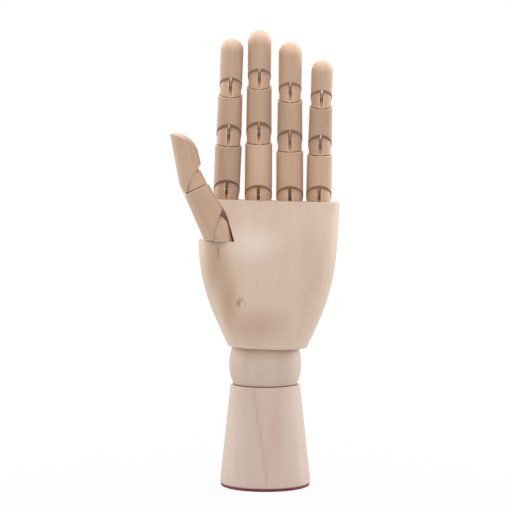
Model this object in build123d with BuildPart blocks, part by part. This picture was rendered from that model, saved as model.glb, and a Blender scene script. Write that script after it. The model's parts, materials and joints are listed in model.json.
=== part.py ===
from build123d import *
import os
from dataclasses import dataclass
from math import cos, radians, sin, sqrt, tan

# A jointed wooden left hand on a turned forearm base.
# Millimetres, +Z up, palm towards -Y, thumb towards -X.
# The origin is the centre of the underside, where the hand stands on a table.

# Base
felt_thickness = 1.5
felt_inset = 0.3
base_height = 54.4
base_bottom_radius = 25.0
base_top_radius = 19.2
base_edge_bevel = 0.7

# Wrist barrel
barrel_foot_radius = 17.4
barrel_waist_radius = 19.9
barrel_waist_height = 10.4
barrel_rim_radius = 18.0
barrel_rim_height = 21.0
barrel_dome_radius = 20.5
wrist_gap = 0.3

# Wrist bolt, spring, washer and nut on the turning axis of the barrel
bolt_radius = 2.5
bolt_head_radius = 5.0
bolt_head_height = 3.5
bolt_play = 0.08
nut_width = 9.0
nut_height = 4.0
nut_recess = 0.3
bolt_end = 0.8
washer_radius = 7.0
washer_thickness = 1.2
spring_wire_radius = 0.7
spring_coil_radius = 4.6
spring_turns = 5
spring_pitch = 2.4
bolt_bore_radius = 8.0
bolt_seat_height = 24.0

# Wrist pin, eyebolt, bush and nut, which tie the palm to the barrel
wrist_pin_radius = 1.5
wrist_pin_length = 26.0
eye_wire_radius = 1.25
eye_play = 0.05
shank_radius = 1.75
shank_slot_play = 0.4
wrist_lean_limit = 20.0
bush_radius = 4.0
bush_foot_height = 22.0
bush_length = 16.0
bush_play = 0.05
eyebolt_nut_width = 6.4
eyebolt_nut_height = 3.0
eyebolt_nut_gap = 0.3

# Palm
hand_roll = 1.5
palm_height = 90.0
palm_heel_height = 10.0
palm_edge_break = 0.8

# Thumb shelf: above it the palm ends behind the thumb, and a pocket holds the thumb's base
shelf_height = 67.6
shelf_end = -32.5
pocket_gap = 0.4
pocket_shift = 0.5
pocket_flare = 2.0

# Knuckles, hooks and sockets, alike in every digit
socket_gap = 0.2
socket_lip = 0.2
seat_drop = 0.3
ball_allowance = 0.03
foot_gap = 0.3
knuckle_sink = 1.0
knuckle_fit = 0.2
knuckle_bevel = 0.45
base_cut_angle = 42.0
cut_angle = 49.0
heel_angle = 60.0
rim_step = 0.85
rim_bevel = 0.5
tenon_radius = 2.6
tenon_length = 4.5
tenon_fit = 0.04
pin_radius = 0.9
pin_cover = 1.0
wire_radius = 0.7
hook_play = 0.05
hook_grip = 6.0
hook_cover = 0.5
hook_slant = 27.0
hook_bend = 1.2
slot_side_play = 0.25

# Fingers
finger_row_depth = 7.5
base_bend = 9.0
middle_bend = 11.0
tip_bend = 6.0

# Thumb
thumb_across = -27.3
thumb_depth = -13.5
thumb_knuckle_lean = 16.6
thumb_lean = 26.7
thumb_tip_bend = 13.5
thumb_cut_angle = 45.0
thumb_base_radius = 7.5
thumb_base_height = 7.0
thumb_foot_radius = 8.3
thumb_foot_shift = 0.4
thumb_proximal_length = 23.7
thumb_tip_radius = 6.5
thumb_rim_step = 0.7
thumb_distal_length = 32.4
thumb_end_radius = 6.3
thumb_round_across = 12.4
thumb_round_along = 14.0
thumb_round_inset = 0.7
thumb_shelf_gap = 0.4


@dataclass
class Finger:
    """One finger: its place on the palm, the seam-to-seam lengths and the knuckle radii."""

    name: str
    across: float
    splay: float
    base_rise: float
    proximal: float
    middle: float
    distal: float
    base_radius: float
    middle_radius: float
    tip_radius: float


@dataclass
class PalmSection:
    """One cross section of the palm, square to its height."""

    height: float
    left: float
    right: float
    front: float
    back: float
    corner: float


fingers = [
    Finger("index", -23.9, 1.0, 5.6, 30.2, 28.8, 32.2, 6.8, 6.5, 5.75),
    Finger("middle", -6.2, -1.0, 3.0, 31.8, 32.3, 32.1, 7.2, 6.6, 5.9),
    Finger("ring", 11.2, -1.6, 2.8, 28.0, 29.2, 33.1, 7.1, 6.55, 5.85),
    Finger("pinky", 27.2, -0.6, 3.8, 26.3, 27.7, 26.4, 6.6, 6.1, 5.4),
]

palm_sections = [
    PalmSection(palm_heel_height, -20.8, 22.6, -20.8, 19.5, 18.5),
    PalmSection(24.3, -27.6, 28.6, -22.4, 19.5, 17.5),
    PalmSection(43.6, -34.8, 34.6, -23.0, 19.0, 15.5),
    PalmSection(62.8, -38.0, 37.2, -20.6, 18.5, 13.0),
    PalmSection(76.6, -38.0, 37.9, -14.6, 18.2, 10.5),
    PalmSection(palm_height, -36.0, 38.6, -6.5, 17.5, 8.0),
]

# Heights and centres that follow from the sizes above
barrel_foot = felt_thickness + base_height
barrel_rim = barrel_foot + barrel_rim_height
wrist_centre = barrel_rim - sqrt(barrel_dome_radius**2 - barrel_rim_radius**2)
eye_turn = wrist_pin_radius + eye_wire_radius + eye_play
hook_turn = pin_radius + wire_radius + hook_play
slot_width = 2 * (wire_radius + slot_side_play)

os.makedirs("parts", exist_ok=True)


def save(piece, name):
    """Label a finished piece and write it under its own name."""
    piece.part.label = name
    export_step(piece.part, f"parts/{name}.step")


def moved_plane(frame, move=(0, 0, 0), turn=(0, 0, 0)):
    """A plane placed and turned in another plane's own axes."""
    return Plane(frame.location * Location(move, turn))


def side_plane(frame):
    """The plane through a frame's origin that shows it from the side, Y to the right and Z up."""
    return Plane(frame.origin, x_dir=frame.y_dir, z_dir=frame.x_dir)


def long_axis(frame):
    """The line up the middle of a piece."""
    return Axis(frame.origin, frame.z_dir)


def hook_shape(frame, knuckle_radius, hook_radius=wire_radius):
    """A wire hook: round under the pin at the frame's origin, slanted up the slot, then into the wood."""
    depth = knuckle_radius + socket_gap + socket_lip - hook_cover - wire_radius
    slant = radians(hook_slant)
    turn_point = (-hook_turn * cos(slant), -hook_turn * sin(slant))
    bend_height = turn_point[1] + (depth + turn_point[0]) / tan(slant)
    top = bend_height + hook_grip
    with BuildPart() as hook:
        with BuildLine(side_plane(frame)) as wire_path:
            FilletPolyline((-depth, top), (-depth, bend_height), turn_point, radius=hook_bend)
            CenterArc((0, 0), hook_turn, 180 + hook_slant, 180 - hook_slant)
            Line((hook_turn, 0), (hook_turn, wire_radius))
        with BuildSketch(moved_plane(frame, (0, -depth, top))):
            Circle(hook_radius)
        sweep(path=wire_path.line)
    return hook.part


def pin_shape(frame, knuckle_radius):
    """A cross pin through the centre of a knuckle's dome."""
    with BuildPart() as pin:
        with BuildSketch(side_plane(frame)):
            Circle(pin_radius)
        extrude(amount=knuckle_radius - pin_cover - tenon_fit, both=True)
    return pin.part


def socket_shape(frame, knuckle_radius, slant, foot_drop, reach):
    """What is cut from the foot of a phalanx: the slant, the heel, the hollow and the hole for its hook."""
    heel = foot_drop / tan(radians(heel_angle))
    rise = reach * tan(radians(slant))
    with BuildPart() as socket:
        with BuildSketch(side_plane(frame)):
            with BuildLine():
                Polyline((-reach, rise), (0, 0), (heel, -foot_drop), (reach, -foot_drop),
                         (reach, -2 * reach), (-reach, -2 * reach), close=True)
            make_face()
        extrude(amount=reach, both=True)
        with Locations(frame.location):
            Sphere(knuckle_radius + socket_gap)
        add(hook_shape(frame, knuckle_radius, wire_radius + tenon_fit))
    return socket.part


def save_group(name, shapes):
    """Write several separate solids of one body under one name."""
    with BuildPart() as group:
        for shape in shapes:
            add(shape)
    save(group, name)


def seat_shape(frame, radius, slant, drop, reach):
    """What is cut from a knuckle around its ball: the seat for the heel of a phalanx."""
    heel = (drop - seat_drop) / tan(radians(heel_angle))
    rise = reach * tan(radians(slant))
    with BuildPart() as seat:
        with BuildSketch(side_plane(frame)):
            with BuildLine():
                Polyline((-reach, rise - seat_drop), (0, -seat_drop), (heel, -drop), (reach, -drop),
                         (reach, rise + reach), (-reach, rise + reach), close=True)
            make_face()
        extrude(amount=reach, both=True)
        with Locations(frame.location):
            Sphere(radius + ball_allowance, mode=Mode.SUBTRACT)
    return seat.part


def slot_shape(frame, radius, foot_height):
    """The slot that the hook swings in: as deep as the straight hook, and sloping out to the foot."""
    under = hook_turn + wire_radius + hook_play
    behind = pin_radius
    slant = radians(hook_slant)
    low = (-behind * cos(slant), -behind * sin(slant))
    high = (low[0] - 2 * radius * tan(slant), low[1] + 2 * radius)
    with BuildPart() as slot:
        with BuildSketch(side_plane(frame)):
            Circle(under)
            with BuildLine():
                Polyline(low, high, (-3 * radius, high[1]), (-3 * radius, -foot_height),
                         (-radius, -foot_height), (0, -under), close=True)
            make_face()
        extrude(amount=slot_width / 2, both=True)
    return slot.part


def make_knuckle(name, frame, radius, sink, rise, seat):
    """A bullet-shaped knuckle: its ball, at the frame's origin, stands rise above what it sinks into."""
    skirt = rise + sink
    with BuildPart() as knuckle:
        with BuildSketch(side_plane(frame)):
            with BuildLine():
                Polyline((0, radius), (0, -skirt), (radius - knuckle_bevel, -skirt),
                         (radius, -skirt + knuckle_bevel), (radius, 0))
                CenterArc((0, 0), radius, 0, 90)
            make_face()
        revolve(axis=long_axis(frame))
        add(seat, mode=Mode.SUBTRACT)
        add(slot_shape(frame, radius, skirt), mode=Mode.SUBTRACT)
        with BuildSketch(side_plane(frame)):
            Circle(pin_radius + tenon_fit)
        extrude(amount=radius - pin_cover, both=True, mode=Mode.SUBTRACT)
        with BuildSketch(moved_plane(frame, (0, 0, -skirt))):
            Circle(tenon_radius)
        extrude(amount=-tenon_length)
    save(knuckle, name)


def make_phalanx(name, frame, knuckle_radius, slant, rise, length, rim_radius):
    """A tapered phalanx from the knuckle at the frame's origin to the rim that carries the next one."""
    foot_radius = knuckle_radius + socket_gap + socket_lip
    socket = socket_shape(frame, knuckle_radius, slant, rise - foot_gap, 2 * foot_radius)
    with BuildPart() as phalanx:
        with BuildSketch(side_plane(frame)):
            with BuildLine():
                Polyline((0, -foot_radius), (foot_radius, -foot_radius), (foot_radius, 0),
                         (rim_radius, length - rim_bevel), (rim_radius - rim_bevel, length),
                         (0, length), close=True)
            make_face()
        revolve(axis=long_axis(frame))
        add(socket, mode=Mode.SUBTRACT)
        with BuildSketch(moved_plane(frame, (0, 0, length))):
            Circle(tenon_radius + tenon_fit)
        extrude(amount=-tenon_length - tenon_fit, mode=Mode.SUBTRACT)
    save(phalanx, name)


def make_fingertip(name, frame, knuckle_radius, length):
    """The last phalanx of a finger, with a round end."""
    foot_radius = knuckle_radius + socket_gap + socket_lip
    socket = socket_shape(frame, knuckle_radius, cut_angle, knuckle_radius - foot_gap, 2 * foot_radius)
    with BuildPart() as fingertip:
        with BuildSketch(side_plane(frame)):
            with BuildLine():
                Polyline((0, length), (0, -foot_radius), (foot_radius, -foot_radius),
                         (foot_radius, length - foot_radius))
                CenterArc((0, length - foot_radius), foot_radius, 0, 90)
            make_face()
        revolve(axis=long_axis(frame))
        add(socket, mode=Mode.SUBTRACT)
    save(fingertip, name)


# The hand's own frame: at the wrist centre, rolled a little towards the little finger
hand = moved_plane(Plane.XY, (0, 0, wrist_centre), (0, hand_roll, 0))

# Felt disc under the base
with BuildPart() as base_felt:
    with BuildSketch():
        Circle(base_bottom_radius - felt_inset)
    extrude(amount=felt_thickness)
save(base_felt, "base_felt")

# Tapered base, bored from below for the bolt and its spring
with BuildPart() as base:
    with BuildSketch(Plane.XZ):
        with BuildLine():
            Polyline((0, felt_thickness), (base_bottom_radius - base_edge_bevel, felt_thickness),
                     (base_bottom_radius, felt_thickness + base_edge_bevel),
                     (base_top_radius, barrel_foot - base_edge_bevel),
                     (base_top_radius - base_edge_bevel, barrel_foot), (0, barrel_foot), close=True)
        make_face()
    revolve(axis=Axis.Z)
    with BuildSketch(Plane.XY.offset(felt_thickness)):
        Circle(bolt_bore_radius)
    extrude(amount=bolt_seat_height, mode=Mode.SUBTRACT)
    with BuildSketch(Plane.XY.offset(felt_thickness)):
        Circle(bolt_radius + bolt_play)
    extrude(amount=base_height, mode=Mode.SUBTRACT)
save(base, "base")

# Stack under the bolt seat: spring between two washers, then the bolt's head
bolt_seat = felt_thickness + bolt_seat_height
spring_height = spring_turns * spring_pitch
spring_top = bolt_seat - washer_thickness
spring_foot = spring_top - spring_height - 2 * spring_wire_radius
head_top = spring_foot - washer_thickness

with BuildPart() as wrist_washers:
    for washer_foot in (spring_top, head_top):
        with BuildSketch(Plane.XY.offset(washer_foot)):
            Circle(washer_radius)
            Circle(bolt_radius + bolt_play, mode=Mode.SUBTRACT)
        extrude(amount=washer_thickness)
save(wrist_washers, "wrist_washers")

with BuildPart() as wrist_spring:
    with BuildLine() as coil_path:
        Helix(spring_pitch, spring_height, spring_coil_radius,
              center=(0, 0, spring_foot + spring_wire_radius))
    with BuildSketch(Plane(coil_path.line @ 0, z_dir=coil_path.line % 0)):
        Circle(spring_wire_radius)
    sweep(path=coil_path.line, is_frenet=True)
save(wrist_spring, "wrist_spring")

nut_foot = barrel_foot + nut_recess
nut_top = nut_foot + nut_height
with BuildPart() as wrist_bolt:
    with BuildSketch(Plane.XY.offset(head_top)):
        Circle(bolt_head_radius)
    extrude(amount=-bolt_head_height)
    with BuildSketch(Plane.XY.offset(head_top)):
        Circle(bolt_radius)
    extrude(amount=nut_top + bolt_end - head_top)
save(wrist_bolt, "wrist_bolt")

with BuildPart() as wrist_nut:
    with BuildSketch(Plane.XY.offset(nut_foot)):
        RegularPolygon(nut_width / 2, 6, major_radius=False)
        Circle(bolt_radius, mode=Mode.SUBTRACT)
    extrude(amount=nut_height)
save(wrist_nut, "wrist_nut")

# Eye and shank of the palm's bolt, and the room that they swing in
eye_reach = eye_turn + eye_wire_radius
eyebolt_nut_foot = bush_foot_height + bush_length + eyebolt_nut_gap
eyebolt_top = eyebolt_nut_foot + eyebolt_nut_height
slot_foot = eye_reach + shank_slot_play
slot_top = barrel_dome_radius + wrist_gap
slot_flare = slot_foot + slot_top * tan(radians(wrist_lean_limit))
slot_half_width = shank_radius + shank_slot_play + slot_top * sin(radians(hand_roll))

# Turned barrel, domed on top where the palm rocks on it
barrel_frame = Plane.XY.offset(wrist_centre)
with BuildPart() as wrist_barrel:
    with BuildSketch(Plane.XZ):
        with BuildLine():
            dome_top = wrist_centre + barrel_dome_radius
            dome_side = barrel_dome_radius / sqrt(2)
            Polyline((0, dome_top), (0, barrel_foot), (barrel_foot_radius, barrel_foot))
            ThreePointArc((barrel_foot_radius, barrel_foot),
                          (barrel_waist_radius, barrel_foot + barrel_waist_height),
                          (barrel_rim_radius, barrel_rim))
            ThreePointArc((barrel_rim_radius, barrel_rim),
                          (dome_side, wrist_centre + dome_side), (0, dome_top))
        make_face()
    revolve(axis=Axis.Z)
    with BuildSketch(side_plane(barrel_frame)):
        with BuildLine():
            Polyline((-slot_foot, -slot_foot), (slot_foot, -slot_foot), (slot_foot, 0),
                     (slot_flare, slot_top), (-slot_flare, slot_top), (-slot_foot, 0), close=True)
        make_face()
    extrude(amount=slot_half_width, both=True, mode=Mode.SUBTRACT)
    with BuildSketch(side_plane(barrel_frame)):
        Circle(wrist_pin_radius + tenon_fit)
    extrude(amount=wrist_pin_length / 2 + tenon_fit, both=True, mode=Mode.SUBTRACT)
    with BuildSketch(Plane.XY.offset(barrel_foot)):
        Circle(bolt_radius + bolt_play)
    extrude(amount=nut_top + 2 * bolt_end - barrel_foot, mode=Mode.SUBTRACT)
    with BuildSketch(Plane.XY.offset(barrel_foot)):
        RegularPolygon(nut_width / 2 + tenon_fit, 6, major_radius=False)
    extrude(amount=nut_top + tenon_fit - barrel_foot, mode=Mode.SUBTRACT)
save(wrist_barrel, "wrist_barrel")

with BuildPart() as wrist_pin:
    with BuildSketch(side_plane(barrel_frame)):
        Circle(wrist_pin_radius)
    extrude(amount=wrist_pin_length / 2, both=True)
save(wrist_pin, "wrist_pin")

with BuildPart() as wrist_eyebolt:
    with Locations(moved_plane(hand, turn=(0, 90, 0)).location):
        Torus(eye_turn, eye_wire_radius)
    with BuildSketch(hand.offset(eye_turn)):
        Circle(shank_radius)
    extrude(amount=eyebolt_top - eye_turn)
save(wrist_eyebolt, "wrist_eyebolt")

with BuildPart() as palm_bush:
    with BuildSketch(hand.offset(bush_foot_height)):
        Circle(bush_radius)
        Circle(shank_radius + bush_play, mode=Mode.SUBTRACT)
    extrude(amount=bush_length)
save(palm_bush, "palm_bush")

with BuildPart() as eyebolt_nut:
    with BuildSketch(hand.offset(eyebolt_nut_foot)):
        RegularPolygon(eyebolt_nut_width / 2, 6, major_radius=False)
        Circle(shank_radius, mode=Mode.SUBTRACT)
    extrude(amount=eyebolt_nut_height)
save(eyebolt_nut, "eyebolt_nut")

# Frames of every joint: for each digit, the knuckle frames and the phalanx frames above them
finger_frames = {}
for finger in fingers:
    foot = moved_plane(hand, (finger.across, finger_row_depth, palm_height - knuckle_sink),
                       (0, finger.splay, 0))
    base_knuckle = moved_plane(foot, (0, 0, finger.base_rise + knuckle_sink))
    proximal = moved_plane(base_knuckle, turn=(base_bend, 0, 0))
    middle_knuckle = moved_plane(proximal, (0, 0, finger.proximal - finger.base_rise + finger.middle_radius))
    middle = moved_plane(middle_knuckle, turn=(middle_bend, 0, 0))
    tip_knuckle = moved_plane(middle, (0, 0, finger.middle - finger.middle_radius + finger.tip_radius))
    distal = moved_plane(tip_knuckle, turn=(tip_bend, 0, 0))
    finger_frames[finger.name] = (foot, base_knuckle, proximal, middle_knuckle, middle, tip_knuckle, distal)

thumb_seat = moved_plane(hand, (thumb_across, thumb_depth, shelf_height))
thumb_stem = moved_plane(moved_plane(thumb_seat, turn=(0, -thumb_knuckle_lean, 0)), turn=(0, 0, 90))
thumb_base = moved_plane(thumb_stem, (0, 0, thumb_base_height))
thumb_shaft = moved_plane(thumb_base, turn=(thumb_knuckle_lean - thumb_lean, 0, 0))
thumb_rim = moved_plane(thumb_shaft, (0, 0, thumb_proximal_length))
thumb_tip = moved_plane(thumb_rim, (0, 0, thumb_tip_radius))
thumb_end = moved_plane(thumb_tip, turn=(thumb_tip_bend, 0, 0))

# Pocket for the thumb's base: round behind it, open to the thumb side and flared to the front
pocket_radius = thumb_foot_radius + pocket_gap
flare_touch = (pocket_radius * sin(radians(pocket_flare)), -pocket_radius * cos(radians(pocket_flare)))
flare_front = flare_touch[1] - (palm_height + flare_touch[0]) * tan(radians(pocket_flare))
with BuildPart() as thumb_pocket:
    with BuildSketch(moved_plane(thumb_stem, (0, pocket_shift, 0))):
        Circle(pocket_radius)
        with BuildLine():
            Polyline((pocket_radius, 0), (pocket_radius, palm_height), (-palm_height, palm_height),
                     (-palm_height, flare_front), flare_touch, close=True)
        make_face()
    extrude(amount=palm_height, both=True)
    split(bisect_by=thumb_seat, keep=Keep.TOP)

# Carved palm: heel hollowed over the barrel, knuckle seats along the top, shelf for the thumb
with BuildPart() as palm:
    for section in palm_sections:
        with BuildSketch(hand.offset(section.height)):
            with Locations(((section.left + section.right) / 2, (section.front + section.back) / 2)):
                RectangleRounded(section.right - section.left, section.back - section.front, section.corner)
    loft()
    chamfer(palm.faces().sort_by(long_axis(hand))[-1].edges(), palm_edge_break)
    with Locations(hand.location):
        Sphere(barrel_dome_radius + wrist_gap, mode=Mode.SUBTRACT)
    with BuildSketch(hand):
        Circle(bush_radius + tenon_fit)
    extrude(amount=eyebolt_top + eyebolt_nut_gap, mode=Mode.SUBTRACT)
    for finger in fingers:
        seat = finger_frames[finger.name][0]
        with BuildSketch(seat):
            Circle(finger.base_radius + knuckle_fit)
        extrude(amount=2 * knuckle_sink, mode=Mode.SUBTRACT)
        with BuildSketch(seat):
            Circle(tenon_radius + tenon_fit)
        extrude(amount=-tenon_length - tenon_fit, mode=Mode.SUBTRACT)
    add(thumb_pocket.part, mode=Mode.SUBTRACT)
    with BuildSketch(hand.offset(shelf_height)):
        with Locations((shelf_end, 0)):
            Rectangle(palm_height, 2 * palm_height, align=(Align.MAX, Align.CENTER))
    extrude(amount=palm_height, mode=Mode.SUBTRACT)
    with BuildSketch(thumb_seat):
        Circle(tenon_radius + tenon_fit)
    extrude(amount=-tenon_length - tenon_fit, mode=Mode.SUBTRACT)
save(palm, "palm")

# Pins of the four base knuckles, which stay in the palm
save_group("finger_base_pins",
           [pin_shape(finger_frames[finger.name][1], finger.base_radius) for finger in fingers])

# Fingers: each phalanx holds the hook at its foot and, below the tip, the pin of the knuckle above it
for finger in fingers:
    _, base_knuckle, proximal, middle_knuckle, middle, tip_knuckle, distal = finger_frames[finger.name]
    base_seat = seat_shape(base_knuckle, finger.base_radius, base_cut_angle, finger.base_rise,
                           2 * finger.base_radius)
    make_knuckle(f"{finger.name}_base_knuckle", base_knuckle, finger.base_radius, knuckle_sink,
                 finger.base_rise, base_seat)
    for knuckle, frame, radius in (("middle", middle_knuckle, finger.middle_radius),
                                   ("tip", tip_knuckle, finger.tip_radius)):
        rim_seat = seat_shape(frame, radius, cut_angle, radius, 2 * radius)
        make_knuckle(f"{finger.name}_{knuckle}_knuckle", frame, radius, 0, radius, rim_seat)
    make_phalanx(f"{finger.name}_proximal", proximal, finger.base_radius, base_cut_angle, finger.base_rise,
                 finger.proximal - finger.base_rise, finger.middle_radius + rim_step)
    make_phalanx(f"{finger.name}_middle", middle, finger.middle_radius, cut_angle, finger.middle_radius,
                 finger.middle - finger.middle_radius, finger.tip_radius + rim_step)
    make_fingertip(f"{finger.name}_distal", distal, finger.tip_radius, finger.distal - finger.tip_radius)
    save_group(f"{finger.name}_proximal_hook_and_pin",
               [hook_shape(proximal, finger.base_radius), pin_shape(middle_knuckle, finger.middle_radius)])
    save_group(f"{finger.name}_middle_hook_and_pin",
               [hook_shape(middle, finger.middle_radius), pin_shape(tip_knuckle, finger.tip_radius)])
    save_group(f"{finger.name}_distal_hook", [hook_shape(distal, finger.tip_radius)])

# Thumb base: a leaning knuckle that stands on the shelf and turns there on a peg
stem_length = 2 * thumb_base_radius
with BuildPart() as thumb_base_knuckle:
    with BuildSketch(side_plane(thumb_base)):
        with BuildLine():
            Polyline((0, thumb_base_radius), (0, -stem_length), (thumb_base_radius, -stem_length),
                     (thumb_base_radius, 0))
            CenterArc((0, 0), thumb_base_radius, 0, 90)
        make_face()
    revolve(axis=long_axis(thumb_base))
    split(bisect_by=thumb_seat, keep=Keep.TOP)
    add(seat_shape(thumb_shaft, thumb_base_radius, thumb_cut_angle, stem_length, stem_length),
        mode=Mode.SUBTRACT)
    add(slot_shape(thumb_shaft, thumb_base_radius, thumb_base_height), mode=Mode.SUBTRACT)
    with BuildSketch(side_plane(thumb_base)):
        Circle(pin_radius + tenon_fit)
    extrude(amount=thumb_base_radius - pin_cover, both=True, mode=Mode.SUBTRACT)
    with BuildSketch(thumb_seat):
        Circle(tenon_radius)
    extrude(amount=-tenon_length)
save(thumb_base_knuckle, "thumb_base_knuckle")
save_group("thumb_base_pin", [pin_shape(thumb_base, thumb_base_radius)])

# Thumb proximal: wider at its foot, on the palm side most of all
thumb_foot = moved_plane(thumb_shaft, (0, -thumb_foot_shift, 0))
thumb_rim_radius = thumb_tip_radius + thumb_rim_step
with BuildPart() as thumb_proximal:
    with BuildSketch(thumb_foot):
        Circle(thumb_foot_radius)
    with BuildSketch(thumb_rim):
        Circle(thumb_rim_radius)
    loft()
    chamfer(thumb_proximal.faces().sort_by(long_axis(thumb_shaft))[-1].edges(), rim_bevel)
    with BuildSketch(thumb_foot):
        Circle(thumb_foot_radius)
    extrude(amount=-2 * thumb_foot_radius)
    add(socket_shape(thumb_shaft, thumb_base_radius, thumb_cut_angle, 2 * thumb_foot_radius,
                     2 * thumb_foot_radius), mode=Mode.SUBTRACT)
    split(bisect_by=moved_plane(thumb_seat, (0, 0, thumb_shelf_gap)), keep=Keep.TOP)
    with BuildSketch(thumb_rim):
        Circle(tenon_radius + tenon_fit)
    extrude(amount=-tenon_length - tenon_fit, mode=Mode.SUBTRACT)
save(thumb_proximal, "thumb_proximal")
make_knuckle("thumb_tip_knuckle", thumb_tip, thumb_tip_radius, 0, thumb_tip_radius,
             seat_shape(thumb_end, thumb_tip_radius, thumb_cut_angle, stem_length, stem_length))
save_group("thumb_proximal_hook_and_pin",
           [hook_shape(thumb_shaft, thumb_base_radius), pin_shape(thumb_tip, thumb_tip_radius)])

# Thumb tip, rounded from its back edge over to the palm side, its heel no wider than the rim below it
thumb_end_foot = thumb_tip_radius + socket_gap + socket_lip
thumb_end_length = thumb_distal_length - thumb_tip_radius
round_centre = moved_plane(thumb_end, (0, thumb_end_radius - thumb_round_inset,
                                       thumb_end_length - thumb_round_along))
with BuildPart() as thumb_round:
    with BuildSketch(side_plane(round_centre)):
        with BuildLine():
            Polyline((0, thumb_round_along), (0, -thumb_distal_length),
                     (thumb_round_across, -thumb_distal_length), (thumb_round_across, 0))
            EllipticalCenterArc((0, 0), thumb_round_across, thumb_round_along, start_angle=0, arc_size=90)
        make_face()
    revolve(axis=long_axis(round_centre))

with BuildPart() as thumb_collar:
    with BuildSketch(thumb_tip):
        Circle(2 * thumb_end_foot)
        Circle(thumb_rim_radius, mode=Mode.SUBTRACT)
    extrude(amount=-2 * thumb_end_foot)

with BuildPart() as thumb_distal:
    with BuildSketch(side_plane(thumb_end)):
        with BuildLine():
            Polyline((0, -2 * thumb_end_foot), (thumb_end_foot, -2 * thumb_end_foot), (thumb_end_foot, 0),
                     (thumb_end_radius, thumb_end_length), (0, thumb_end_length), close=True)
        make_face()
    revolve(axis=long_axis(thumb_end))
    add(thumb_round.part, mode=Mode.INTERSECT)
    add(socket_shape(thumb_end, thumb_tip_radius, thumb_cut_angle, 2 * thumb_end_foot, 2 * thumb_end_foot),
        mode=Mode.SUBTRACT)
    add(thumb_collar.part, mode=Mode.SUBTRACT)
    split(bisect_by=moved_plane(thumb_rim, (0, 0, foot_gap)), keep=Keep.TOP)
save(thumb_distal, "thumb_distal")
save_group("thumb_distal_hook", [hook_shape(thumb_end, thumb_tip_radius)])
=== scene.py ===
"""Looks of the jointed wooden hand: sanded wood, bright wire, felt, soft studio light and camera."""
import json
import logging
import math
import random
from dataclasses import dataclass
from enum import Enum

import bmesh
import bpy
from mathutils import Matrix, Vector


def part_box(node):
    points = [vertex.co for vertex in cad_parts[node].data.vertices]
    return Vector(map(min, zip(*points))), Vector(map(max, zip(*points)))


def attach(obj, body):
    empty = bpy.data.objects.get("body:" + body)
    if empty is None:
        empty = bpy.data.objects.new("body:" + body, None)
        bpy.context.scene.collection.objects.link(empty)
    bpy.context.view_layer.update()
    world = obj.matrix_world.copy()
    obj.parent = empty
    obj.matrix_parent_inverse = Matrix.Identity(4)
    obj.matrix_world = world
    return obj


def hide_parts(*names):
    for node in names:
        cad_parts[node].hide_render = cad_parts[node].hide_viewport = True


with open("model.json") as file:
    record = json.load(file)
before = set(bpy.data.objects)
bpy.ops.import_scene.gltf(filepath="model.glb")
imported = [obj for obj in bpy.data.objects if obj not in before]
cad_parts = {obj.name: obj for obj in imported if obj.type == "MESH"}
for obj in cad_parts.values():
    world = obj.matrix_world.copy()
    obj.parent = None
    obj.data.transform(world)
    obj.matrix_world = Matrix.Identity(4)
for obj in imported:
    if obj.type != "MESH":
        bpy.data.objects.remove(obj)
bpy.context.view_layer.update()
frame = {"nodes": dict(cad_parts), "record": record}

NODES: dict[str, bpy.types.Object] = frame["nodes"]
log = logging.getLogger("wooden_hand")

Triple = tuple[float, float, float]
WHITE = (1.0, 1.0, 1.0, 1.0)

# Features of the wood per metre: two across the grain, then along it
BAND = (150, 150, 6)
STREAK = (620, 620, 18)
HAIR = (2100, 2100, 70)
PORE = (2600, 2600, 260)
CLOUD = (42, 42, 16)
WOOD_RELIEF = 0.00008


class Value:
    """A shader socket that takes part in Python arithmetic."""

    def __init__(self, graph: "Graph", socket: bpy.types.NodeSocket) -> None:
        """Keep the socket and the graph that it belongs to."""
        self.graph = graph
        self.socket = socket

    def _math(self, operation: str, first: "Value | float", second: "Value | float") -> "Value":
        """Add one Math node.

        Args:
            operation: the Math node's operation.
            first: the left operand.
            second: the right operand.

        Returns:
            The node's result.
        """
        made = self.graph.node("ShaderNodeMath", {"operation": operation}, {0: first, 1: second})
        return Value(self.graph, made.outputs[0])

    def __add__(self, other: "Value | float") -> "Value":
        """Sum."""
        return self._math("ADD", self, other)

    __radd__ = __add__

    def __sub__(self, other: "Value | float") -> "Value":
        """Difference."""
        return self._math("SUBTRACT", self, other)

    def __rsub__(self, other: float) -> "Value":
        """Difference from a number."""
        return self._math("SUBTRACT", other, self)

    def __mul__(self, other: "Value | float") -> "Value":
        """Product."""
        return self._math("MULTIPLY", self, other)

    __rmul__ = __mul__

    def __truediv__(self, other: "Value | float") -> "Value":
        """Quotient."""
        return self._math("DIVIDE", self, other)

    def clamp(self) -> "Value":
        """The value held between 0 and 1."""
        made = self.graph.node("ShaderNodeClamp", {}, {"Value": self, "Min": 0.0, "Max": 1.0})
        return Value(self.graph, made.outputs[0])


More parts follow.
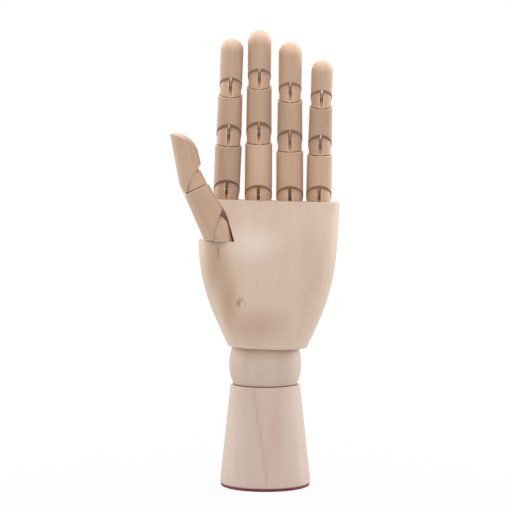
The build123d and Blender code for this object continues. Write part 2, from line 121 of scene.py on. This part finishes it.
class Graph:
    """A node tree, of a material or of the world."""

    def __init__(self, owner: "bpy.types.Material | bpy.types.World", output: str) -> None:
        """Empty the owner's tree and give it an output node of that type."""
        owner.use_nodes = True
        self.owner = owner
        self.tree = owner.node_tree
        self.tree.nodes.clear()
        self.output = self.node(output)

    @classmethod
    def material(cls, name: str) -> "Graph":
        """Start a material of that name."""
        return cls(bpy.data.materials.new(name), "ShaderNodeOutputMaterial")

    @classmethod
    def world(cls, name: str) -> "Graph":
        """Start a world of that name."""
        return cls(bpy.data.worlds.new(name), "ShaderNodeOutputWorld")

    def node(self, kind: str, settings: dict | None = None, sockets: dict | None = None) -> bpy.types.Node:
        """Add a node.

        Args:
            kind: the node's type.
            settings: attributes, set first.
            sockets: input name or index to a Value, a socket or a constant.

        Returns:
            The new node.
        """
        made = self.tree.nodes.new(kind)
        for key, setting in (settings or {}).items():
            setattr(made, key, setting)
        for key, given in (sockets or {}).items():
            source = given.socket if isinstance(given, Value) else given
            if isinstance(source, bpy.types.NodeSocket):
                self.tree.links.new(source, made.inputs[key])
            else:
                made.inputs[key].default_value = source
        return made

    def close(self, shader: bpy.types.NodeSocket) -> None:
        """Lead a shader to the output."""
        self.tree.links.new(shader, self.output.inputs["Surface"])

    def place(self) -> bpy.types.NodeSocket:
        """Where a point lies on its piece, in metres."""
        return self.node("ShaderNodeTexCoord").outputs["Object"]

    def scaled(self, vector: bpy.types.NodeSocket, factors: Triple) -> bpy.types.NodeSocket:
        """Multiply a vector by three factors.

        Args:
            vector: the vector's socket.
            factors: one factor per axis.

        Returns:
            The product's socket.
        """
        made = self.node("ShaderNodeVectorMath", {"operation": "MULTIPLY"}, {0: vector, 1: factors})
        return made.outputs[0]

    def facing(self, direction: Triple) -> Value:
        """How far the surface of a piece faces one direction of its own frame.

        Args:
            direction: a unit vector.

        Returns:
            1 where it faces that way, -1 where it faces away.
        """
        normal = self.node("ShaderNodeTexCoord").outputs["Normal"]
        made = self.node("ShaderNodeVectorMath", {"operation": "DOT_PRODUCT"}, {0: normal, 1: direction})
        return Value(self, made.outputs["Value"])

    def reach(self, vector: bpy.types.NodeSocket, centre: Triple, radii: Triple) -> Value:
        """How far a point lies from a centre.

        Args:
            vector: coordinates in metres.
            centre: the centre in metres.
            radii: the distance that counts as 1, along each axis.

        Returns:
            0 at the centre, 1 on the ellipsoid of those radii.
        """
        moved = self.node("ShaderNodeVectorMath", {"operation": "SUBTRACT"}, {0: vector, 1: centre})
        shrunk = self.scaled(moved.outputs[0], tuple(1 / r for r in radii))
        length = self.node("ShaderNodeVectorMath", {"operation": "LENGTH"}, {0: shrunk})
        return Value(self, length.outputs["Value"])

    def noise(self, vector: bpy.types.NodeSocket, per_metre: Triple, detail: float = 3.0,
              distortion: float = 0.0) -> Value:
        """Noise stretched along the axes.

        Args:
            vector: coordinates in metres.
            per_metre: features per metre along each axis.
            detail: octaves.
            distortion: how far the pattern is bent.

        Returns:
            The noise, about 0.5 in the mean.
        """
        made = self.node("ShaderNodeTexNoise", {}, {
            "Vector": self.scaled(vector, per_metre), "Scale": 1.0, "Detail": detail,
            "Roughness": 0.55, "Distortion": distortion})
        return Value(self, made.outputs[0])

    def mix(self, factor: Value | float, first: object, second: object) -> bpy.types.NodeSocket:
        """Mix two colours.

        Args:
            factor: how much of the second shows.
            first: colour or socket.
            second: colour or socket.

        Returns:
            The mixed colour's socket.
        """
        return self.node("ShaderNodeMix", {"data_type": "RGBA"}, {0: factor, 6: first, 7: second}).outputs[2]

    def seen(self) -> Value:
        """1 where the camera sees a point, itself or through a reflection or a clear piece."""
        path = self.node("ShaderNodeLightPath")
        total = Value(self, path.outputs["Is Camera Ray"]) + Value(self, path.outputs["Is Glossy Ray"])
        return (total + Value(self, path.outputs["Is Transmission Ray"])).clamp()

    def principled(self, sockets: dict, height: Value, depth: float, strength: float) -> bpy.types.Material:
        """Close the tree with a Principled shader over a relief.

        Args:
            sockets: the shader's inputs, varying or constant.
            height: the relief for a Bump node.
            depth: the relief's depth in metres.
            strength: the Bump node's strength.

        Returns:
            The finished material.
        """
        bump = self.node("ShaderNodeBump", {}, {"Strength": strength, "Distance": depth, "Height": height})
        shader = self.node("ShaderNodeBsdfPrincipled", {}, {**sockets, "Normal": bump.outputs["Normal"]})
        self.close(shader.outputs["BSDF"])
        return self.owner


@dataclass(frozen=True)
class Tone:
    """A colour as it is seen, 0 to 255 a channel."""

    red: int
    green: int
    blue: int

    @property
    def linear(self) -> tuple[float, float, float, float]:
        """The colour as the shader takes it."""
        parts = [c / 255 for c in (self.red, self.green, self.blue)]
        r, g, b = (c / 12.92 if c <= 0.04045 else ((c + 0.055) / 1.055) ** 2.4 for c in parts)
        return (r, g, b, 1.0)

    def nudged(self, share: float) -> "Tone":
        """The colour made lighter, or darker below 1."""
        return Tone(*(min(255, round(c * share)) for c in (self.red, self.green, self.blue)))


@dataclass(frozen=True)
class Blotch:
    """A patch of other colour on a piece: a knot or darker figure in the wood, a painted shade or a painted
    highlight.

    centre and radii are in metres, edge is the share of the radius over which the patch fades out.
    """

    centre: Triple
    radii: Triple
    tone: Tone
    strength: float
    edge: float = 1.0

    def over(self, graph: Graph, colour: object, vector: bpy.types.NodeSocket,
             ragged: Value) -> bpy.types.NodeSocket:
        """Lay the patch over a colour.

        Args:
            graph: the wood's graph.
            colour: what lies under it.
            vector: coordinates in metres.
            ragged: noise that breaks up the patch's outline.

        Returns:
            The colour with the patch.
        """
        far = graph.reach(vector, self.centre, self.radii) + (ragged - 0.5) * 0.5
        shown = ((1.0 - far) / self.edge).clamp()
        return graph.mix(shown * shown * (3.0 - 2.0 * shown) * self.strength, colour, self.tone.linear)


@dataclass(frozen=True)
class WoodFinish:
    """Sanded close-grained wood with fine pores.

    light, dark and pore are the grain's colours, contrast the strength of its figure, along the
    grain's direction; the next two give the painted shade on faces that turn down and the painted highlight
    on the upper end and its bevel, which face up.
    """

    name: str
    light: Tone
    dark: Tone
    pore: Tone
    contrast: float = 0.5
    seed: int = 1
    along: Triple = (0.0, 0.0, 1.0)
    underside_shade: float = 0.0
    top_painted_light: float = 0.0
    blotches: tuple[Blotch, ...] = ()
    roughness: float = 0.46

    def make(self) -> bpy.types.Material:
        """Build the wood's material.

        Returns:
            The material.
        """
        graph = Graph.material(self.name)
        pick = random.Random(self.seed)
        shift = (pick.uniform(-3, 3), pick.uniform(-3, 3), pick.uniform(-3, 3))
        place = graph.place()
        turn = Vector(self.along).rotation_difference(Vector((0.0, 0.0, 1.0))).to_euler()
        board = graph.node("ShaderNodeMapping", {"vector_type": "POINT"}, {
            "Vector": place, "Location": shift, "Rotation": turn}).outputs["Vector"]
        band = graph.noise(board, BAND, 2, 0.4)
        streak = graph.noise(board, STREAK, 3)
        hair = graph.noise(board, HAIR, 2)
        pore = graph.noise(board, PORE, 1)
        cloud = graph.noise(board, CLOUD, 2)
        figure = (band - 0.5) * 1.7 + (streak - 0.5) * 0.8 + (hair - 0.5) * 0.3
        grain = (figure * self.contrast + (cloud - 0.5) * 0.8 + 0.52).clamp()
        fleck = ((pore - 0.62) * 9).clamp()
        colour = graph.mix(grain, self.dark.linear, self.light.linear)
        for blotch in self.blotches:
            colour = blotch.over(graph, colour, place, cloud)
        colour = graph.mix(fleck * 0.22, colour, self.pore.linear)
        # painted highlight: faces that turn up, along the grain, are made paler
        upward = graph.facing(self.along)
        top_highlight = ((upward - 0.25) * 1.6).clamp() * self.top_painted_light
        colour = graph.mix(top_highlight, colour, self.light.nudged(1.12).linear)
        # painted shade: faces that turn down, against the grain's direction, are darkened towards the pore
        # colour
        under = ((-0.35 - upward) * 6).clamp()
        colour = graph.mix(under * self.underside_shade, colour, self.pore.nudged(0.62).linear)
        rough = (streak - 0.5) * 0.16 + fleck * 0.1 + self.roughness
        relief = streak * 0.5 + hair * 0.3 - fleck * 0.5
        return graph.principled({"Base Color": colour, "Roughness": rough, "Specular IOR Level": 0.4},
                                relief, WOOD_RELIEF, 0.3)


@dataclass(frozen=True)
class MetalFinish:
    """Drawn or turned metal with fine scratches."""

    name: str
    tone: Tone
    roughness: float = 0.24

    def make(self) -> bpy.types.Material:
        """Build the metal's material.

        Returns:
            The material.
        """
        graph = Graph.material(self.name)
        place = graph.place()
        scratch = graph.noise(place, (5200, 5200, 420), 2)
        tarnish = graph.noise(place, (420, 420, 420), 3)
        colour = graph.mix((tarnish - 0.35).clamp() * 0.6, self.tone.linear, self.tone.nudged(0.72).linear)
        rough = (scratch - 0.5) * 0.2 + tarnish * 0.12 + self.roughness
        return graph.principled({"Base Color": colour, "Roughness": rough, "Metallic": 1.0},
                                scratch, 0.00002, 0.3)


@dataclass(frozen=True)
class FeltFinish:
    """Pressed wool felt, dull and matted."""

    name: str
    tone: Tone

    def make(self) -> bpy.types.Material:
        """Build the felt's material.

        Returns:
            The material.
        """
        graph = Graph.material(self.name)
        place = graph.place()
        fibre = graph.noise(place, (2400, 2400, 2400), 3, 2.5)
        mat = graph.noise(place, (260, 260, 260), 2)
        colour = graph.mix((fibre * 0.7 + mat * 0.5 - 0.1).clamp(), self.tone.nudged(0.6).linear,
                           self.tone.nudged(1.25).linear)
        return graph.principled({"Base Color": colour, "Roughness": fibre * 0.15 + 0.82, "Sheen Weight": 0.35,
                                 "Sheen Roughness": 0.5, "Specular IOR Level": 0.1}, fibre, 0.0003, 0.7)


class Stock(Enum):
    """The woods that the hand is turned and carved from."""

    PALM = (Tone(221, 200, 182), Tone(204, 177, 155), Tone(160, 122, 98))
    TURNED = (Tone(216, 197, 182), Tone(200, 176, 159), Tone(166, 132, 114))
    FINGER = (Tone(219, 187, 160), Tone(195, 158, 129), Tone(146, 107, 80))
    KNUCKLE = (Tone(226, 190, 163), Tone(202, 163, 134), Tone(144, 105, 78))

    def finish(self, name: str, seed: int, shade: float = 1.0, along: Triple = (0.0, 0.0, 1.0),
               contrast: float = 0.5, underside_shade: float = 0.0, top_painted_light: float = 0.0,
               blotches: tuple[Blotch, ...] = ()) -> WoodFinish:
        """A finish for one piece cut from this stock.

        Args:
            name: the piece's name.
            seed: picks where in the board the piece was cut.
            shade: how light the board is.
            along: the grain's direction.
            contrast: the figure's strength.
            underside_shade: how much painted shade darkens faces that turn down.
            top_painted_light: how much painted highlight pales the upper end, which faces up.
            blotches: patches of other colour.

        Returns:
            The finish.
        """
        light, dark, pore = (tone.nudged(shade) for tone in self.value)
        return WoodFinish(f"wood_{name}", light, dark, pore, contrast, seed, along, underside_shade, top_painted_light,
                          blotches)


STEEL = MetalFinish("bright_wire", Tone(236, 234, 230), 0.16)
BRASS = MetalFinish("turned_brass", Tone(206, 172, 104), 0.3)
FELT = FeltFinish("red_felt", Tone(130, 58, 60))


def dress(node: str, material: bpy.types.Material) -> None:
    """Give a carried-over node its material.

    Args:
        node: the node's name.
        material: the material for all its slots.
    """
    slots = NODES[node].data.materials
    slots.clear()
    slots.append(material)
    log.info("dressed %s with %s", node, material.name)


@dataclass
class Hardware:
    """Wire hooks, pins, bolt, spring and bush, by their slots in the record."""

    steel: MetalFinish = STEEL
    brass: MetalFinish = BRASS

    def dress(self) -> None:
        """Dress every metal node."""
        finishes = {"steel": self.steel.make(), "brass": self.brass.make()}
        for subpart in frame["record"]["subparts"]:
            if subpart["material_slot"] in finishes:
                dress(subpart["node"], finishes[subpart["material_slot"]])


@dataclass
class Stand:
    """Turned forearm base with its felt foot."""

    shade: float = 0.985
    felt_round: float = 0.00035
    felt_wave: float = 0.00012
    steps: int = 128

    def figure(self) -> tuple[Blotch, ...]:
        """The base's pink heart streak, and the tan growth line that slants down beside it."""
        front, tan_line = -0.022, Tone(188, 154, 124)
        streak = Blotch((0.004, front, 0.03), (0.010, 0.012, 0.042), Tone(206, 170, 157), 0.6)
        line = [Blotch((-0.006 + 0.0016 * step, front, 0.052 - 0.011 * step), (0.0016, 0.012, 0.011),
                       tan_line, 0.5) for step in range(5)]
        return (streak, *line)

    def dress(self) -> None:
        """Dress the turned base."""
        dress("base", Stock.TURNED.finish("base", 11, self.shade, contrast=0.45,
                                          blotches=self.figure()).make())

    def rings(self, radius: float, low: float, high: float) -> list[tuple[float, float]]:
        """The felt's profile from the middle of its underside to the middle of its top.

        Args:
            radius: the pad's radius in metres.
            low: the underside's height.
            high: the top's height.

        Returns:
            Pairs of radius share and height.
        """
        rim = []
        for step in range(7):
            turn = math.pi * (step / 6 - 0.5)
            share = 1.0 + (math.cos(turn) - 1) * self.felt_round / radius
            rim.append((share, (low + high) / 2 + math.sin(turn) * (high - low) / 2))
        return [(0.0, low), (0.5, low), (0.93, low), *rim, (0.93, high), (0.5, high), (0.0, high)]

    def build(self) -> None:
        """Model the felt disc as a matted pad with a soft, slightly uneven rim."""
        low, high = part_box("base_felt")
        centre = (low + high) / 2
        radius = (high.x - low.x) / 2 - self.felt_wave
        pick = random.Random(5)
        waves = [(k, pick.uniform(-1, 1) / 3, pick.uniform(0, math.tau)) for k in (3, 5, 9, 17, 31)]
        mesh = bpy.data.meshes.new("felt_foot")
        body = bmesh.new()
        rows = []
        for share, z in self.rings(radius, low.z, high.z):
            count = self.steps if share else 1
            row = []
            for step in range(count):
                a = math.tau * step / count
                wave = sum(w * math.sin(k * a + p) for k, w, p in waves)
                r = radius * share + self.felt_wave * share * wave
                row.append(body.verts.new((centre.x + r * math.cos(a), centre.y + r * math.sin(a), z)))
            rows.append(row)
        for lower, upper in zip(rows, rows[1:]):
            for step in range(self.steps):
                after = (step + 1) % self.steps
                if len(lower) == 1:
                    body.faces.new((lower[0], upper[after], upper[step]))
                elif len(upper) == 1:
                    body.faces.new((lower[step], lower[after], upper[0]))
                else:
                    body.faces.new((lower[step], lower[after], upper[after], upper[step]))
        bmesh.ops.recalc_face_normals(body, faces=body.faces)
        for face in body.faces:
            face.smooth = True
        body.to_mesh(mesh)
        body.free()
        piece = bpy.data.objects.new("felt_foot", mesh)
        bpy.context.scene.collection.objects.link(piece)
        mesh.materials.append(FELT.make())
        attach(piece, "base")
        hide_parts("base_felt")
        log.info("built felt_foot")


@dataclass
class Forearm:
    """Wrist barrel and carved palm."""

    barrel_shade: float = 0.975
    palm_shade: float = 1.0
    palm_front: float = -0.02

    def patch(self, x: float, z: float, across: float, along: float, tone: Tone, strength: float,
              edge: float = 1.0) -> Blotch:
        """A patch on the front of the palm.

        Args:
            x: place across the palm in millimetres.
            z: height above the table in millimetres.
            across: half width in millimetres.
            along: half height in millimetres.
            tone: the patch's colour.
            strength: how much of it shows.
            edge: the share of the radius that fades.

        Returns:
            The patch, as deep as the palm's front half.
        """
        return Blotch((x / 1000, self.palm_front, z / 1000), (across / 1000, 0.02, along / 1000),
                      tone, strength, edge)

    def patches(self) -> tuple[Blotch, ...]:
        """The palm's patches: painted shade beside the thumb, a painted highlight high on the front, a darker
        brown band with a thin dark streak down the left side, painted shade low on the front where it turns
        down, a knot, and a duller pink right side.
        """
        brown = Tone(176, 138, 106)
        return (
            # painted shade on the palm beside the thumb
            self.patch(-20.0, 150.0, 9.0, 16.0, Tone(208, 179, 148), 0.7),
            # painted highlight where the upper palm turns up towards the light
            self.patch(-7.5, 135.0, 21.0, 15.0, Tone(236, 222, 212), 0.6),
            self.patch(-26.0, 124.0, 10.5, 26.0, brown, 0.65),
            self.patch(-19.5, 105.0, 8.0, 24.0, brown, 0.65),
            self.patch(-25.5, 130.0, 1.2, 6.0, Tone(140, 104, 74), 0.6),
            # painted shade on the lower palm, which faces down, away from the top light
            self.patch(-4.0, 90.0, 22.0, 16.0, Tone(186, 149, 124), 0.7),
            self.patch(-14.5, 102.3, 1.7, 3.6, Tone(134, 90, 68), 0.8),
            self.patch(-13.0, 104.2, 2.4, 1.8, Tone(150, 106, 82), 0.6),
            self.patch(24.0, 134.0, 11.0, 30.0, Tone(204, 176, 157), 0.6),
        )

    def barrel_tone_and_shade(self) -> tuple[Blotch, ...]:
        """The barrel's browner top, partly brown mottling in the wood and partly painted shadow of the palm,
        and painted shade in the seam at its foot.
        """
        low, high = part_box("wrist_barrel")
        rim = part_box("base")[1].z
        return (
            # browner top: brown mottling in the wood together with painted shadow of the palm
            Blotch((0.0, 0.0, high.z), (0.06, 0.06, high.z - rim - 0.013), Tone(178, 148, 124), 0.75, 0.5),
            # painted shade in the seam at the barrel's foot
            Blotch((0.0, 0.0, low.z), (1.0, 1.0, 0.0009), Tone(118, 82, 62), 0.8, 0.6),
        )

    def dress(self) -> None:
        """Dress the barrel and the palm."""
        dress("wrist_barrel", Stock.TURNED.finish("wrist_barrel", 23, self.barrel_shade, contrast=0.4,
                                                  blotches=self.barrel_tone_and_shade()).make())
        grain = Vector((math.sin(math.radians(2)), 0.0, math.cos(math.radians(2))))
        # the 0.3 is the palm's painted highlight on faces that turn up
        palm = Stock.PALM.finish("palm", 37, self.palm_shade, tuple(grain), 0.4, 0.0, 0.3, self.patches())
        dress("palm", palm.make())


@dataclass
class Digit:
    """One finger or the thumb, each piece from its own bit of board.

    leans are the turns of its pieces to the right, and bends their turns towards the palm side,
    in degrees from upright, from the base to the tip. shades say how light each piece is.
    """

    name: str
    leans: tuple[float, ...]
    bends: tuple[float, ...]
    shades: tuple[float, ...]
    seed: int
    # The next four fields: painted shade on a phalanx's faces that turn down, painted highlight on its faces
    # that turn up, the figure's strength, and painted shade on a knuckle's faces that turn down.
    underside_shade: float = 0.6
    top_painted_light: float = 0.75
    contrast: float = 0.5
    foot_painted_shade: float = 0.85
    slot_radii: Triple = (0.0013, 0.012, 0.03)

    def grain(self, level: int) -> Triple:
        """The grain's direction in one piece of the digit.

        Args:
            level: the piece's place, 0 at the palm.

        Returns:
            A unit vector.
        """
        lean, bend = math.radians(self.leans[level]), math.radians(self.bends[level])
        return (math.sin(lean) * math.cos(bend), -math.sin(bend), math.cos(lean) * math.cos(bend))

    def slot_painted_light(self, node: str) -> tuple[Blotch, ...]:
        """Painted light in the slot on the palm side of a finger's knuckle: a pale patch that lifts the
        slot's deep shade.

        Args:
            node: the knuckle's name.

        Returns:
            The painted light that fills the slot, or none on the thumb, whose slots face sideways.
        """
        if len(self.leans) < 3:
            return ()
        low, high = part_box(node)
        front = ((low.x + high.x) / 2, low.y, (low.z + high.z) / 2)
        # pale patch painted into the slot to lift its shade
        return (Blotch(front, self.slot_radii, Tone(246, 216, 188), 0.9, 0.15),)

    def dress(self) -> None:
        """Dress the phalanges and knuckles of this digit."""
        levels = ("proximal", "middle", "distal") if len(self.leans) == 3 else ("proximal", "distal")
        joints = ("base", "middle", "tip") if len(self.leans) == 3 else ("base", "tip")
        for level, (bone, joint) in enumerate(zip(levels, joints)):
            shade = self.shades[level]
            node = f"{self.name}_{bone}"
            dress(node, Stock.FINGER.finish(node, self.seed * 31 + level, shade, self.grain(level),
                                            self.contrast, self.underside_shade, self.top_painted_light).make())
            node = f"{self.name}_{joint}_knuckle"
            dress(node, Stock.KNUCKLE.finish(node, self.seed * 53 + level, shade,
                                             self.grain(max(0, level - 1)), self.contrast, self.foot_painted_shade,
                                             0.0, self.slot_painted_light(node)).make())


@dataclass(frozen=True)
class Softbox:
    """A square lamp: where it hangs and its side, in metres, and its power in watts."""

    name: str
    place: Triple
    side: float
    watts: float


SOFTBOXES = (
    Softbox("left_softbox", (-0.95, 0.4, 0.5), 0.9, 6.0),
    Softbox("right_softbox", (0.95, 0.4, 0.5), 0.9, 7.0),
    Softbox("top_softbox", (0.0, 0.05, 1.2), 0.8, 5.4),
    Softbox("front_softbox", (0.05, -1.25, 0.42), 0.9, 3.4),
)


@dataclass
class Studio:
    """Floor, lamps, world and camera."""

    distance: float = 1.07
    eye_height: float = 0.1849
    aim: Triple = (-0.0051, 0.0, 0.1266)
    field: float = 0.2816
    sensor: float = 36.0
    floor_size: float = 4.0
    shadow_near: float = 0.03
    shadow_far: float = 0.3
    shadow_share: float = 0.07
    room_light: float = 0.6

    def build(self) -> None:
        """Build the whole studio."""
        bpy.context.scene.view_settings.view_transform = "Standard"
        self.floor()
        self.world()
        for box in SOFTBOXES:
            self.lamp(box)
        self.camera()

    def floor(self) -> None:
        """Lay a pale floor that keeps the shadow near the base and reads white further out."""
        mesh = bpy.data.meshes.new("studio_floor")
        body = bmesh.new()
        bmesh.ops.create_grid(body, x_segments=4, y_segments=4, size=self.floor_size)
        body.to_mesh(mesh)
        body.free()
        piece = bpy.data.objects.new("studio_floor", mesh)
        bpy.context.scene.collection.objects.link(piece)
        graph = Graph.material("pale_floor")
        far = graph.reach(graph.place(), (0.0, 0.0, 0.0), (1.0, 1.0, 1.0))
        fade = ((far - self.shadow_near) / (self.shadow_far - self.shadow_near)).clamp()
        shown = graph.seen() * (fade * self.shadow_share + (1.0 - self.shadow_share))
        matt = graph.node("ShaderNodeBsdfDiffuse", {}, {"Color": Tone(214, 214, 214).linear})
        white = graph.node("ShaderNodeEmission", {}, {"Color": WHITE, "Strength": 1.0})
        both = graph.node("ShaderNodeMixShader", {}, {0: shown, 1: matt.outputs[0], 2: white.outputs[0]})
        graph.close(both.outputs[0])
        mesh.materials.append(graph.owner)

    def world(self) -> None:
        """Fill the room with soft white light, seen as white."""
        graph = Graph.world("white_room")
        lit = graph.node("ShaderNodeBackground", {}, {"Color": WHITE, "Strength": self.room_light})
        white = graph.node("ShaderNodeBackground", {}, {"Color": WHITE, "Strength": 1.0})
        both = graph.node("ShaderNodeMixShader", {}, {
            0: graph.seen(), 1: lit.outputs[0], 2: white.outputs[0]})
        graph.close(both.outputs[0])
        bpy.context.scene.world = graph.owner

    def lamp(self, box: Softbox) -> None:
        """Hang a softbox that faces the hand.

        Args:
            box: the lamp's place, size and power.
        """
        light = bpy.data.lights.new(box.name, "AREA")
        light.shape = "SQUARE"
        light.size = box.side
        light.energy = box.watts
        hung = bpy.data.objects.new(box.name, light)
        hung.location = box.place
        hung.rotation_euler = (Vector(self.aim) - Vector(box.place)).to_track_quat("-Z", "Y").to_euler()
        bpy.context.scene.collection.objects.link(hung)

    def camera(self) -> None:
        """Stand the camera where the photograph was taken from."""
        lens = bpy.data.cameras.new("photo_camera")
        place = Vector((self.aim[0], -self.distance, self.eye_height))
        reach = Vector(self.aim) - place
        lens.sensor_width = self.sensor
        lens.lens = self.sensor * reach.length / self.field
        lens.clip_end = 50.0
        stood = bpy.data.objects.new("photo_camera", lens)
        stood.location = place
        stood.rotation_euler = reach.to_track_quat("-Z", "Y").to_euler()
        bpy.context.scene.collection.objects.link(stood)
        bpy.context.scene.camera = stood


def main() -> None:
    """Build the hand's looks and the studio, in order."""
    logging.basicConfig(level=logging.INFO)
    Hardware().dress()
    stand = Stand()
    stand.dress()
    stand.build()
    Forearm().dress()
    curl = (9.0, 20.0, 26.0)
    Digit("index", (2.0, 2.0, 2.0), curl, (0.91, 0.94, 0.97), 3).dress()
    Digit("middle", (0.5, 0.5, 0.5), curl, (1.02, 0.96, 0.98), 5).dress()
    Digit("ring", (0.0, 0.0, 0.0), curl, (1.0, 0.95, 0.98), 7).dress()
    Digit("pinky", (1.0, 1.0, 1.0), curl, (0.98, 0.92, 0.97), 9).dress()
    Digit("thumb", (-25.2, -11.7), (0.0, 0.0), (0.94, 0.95), 13).dress()
    Studio().build()


if __name__ == "__main__":
    main()
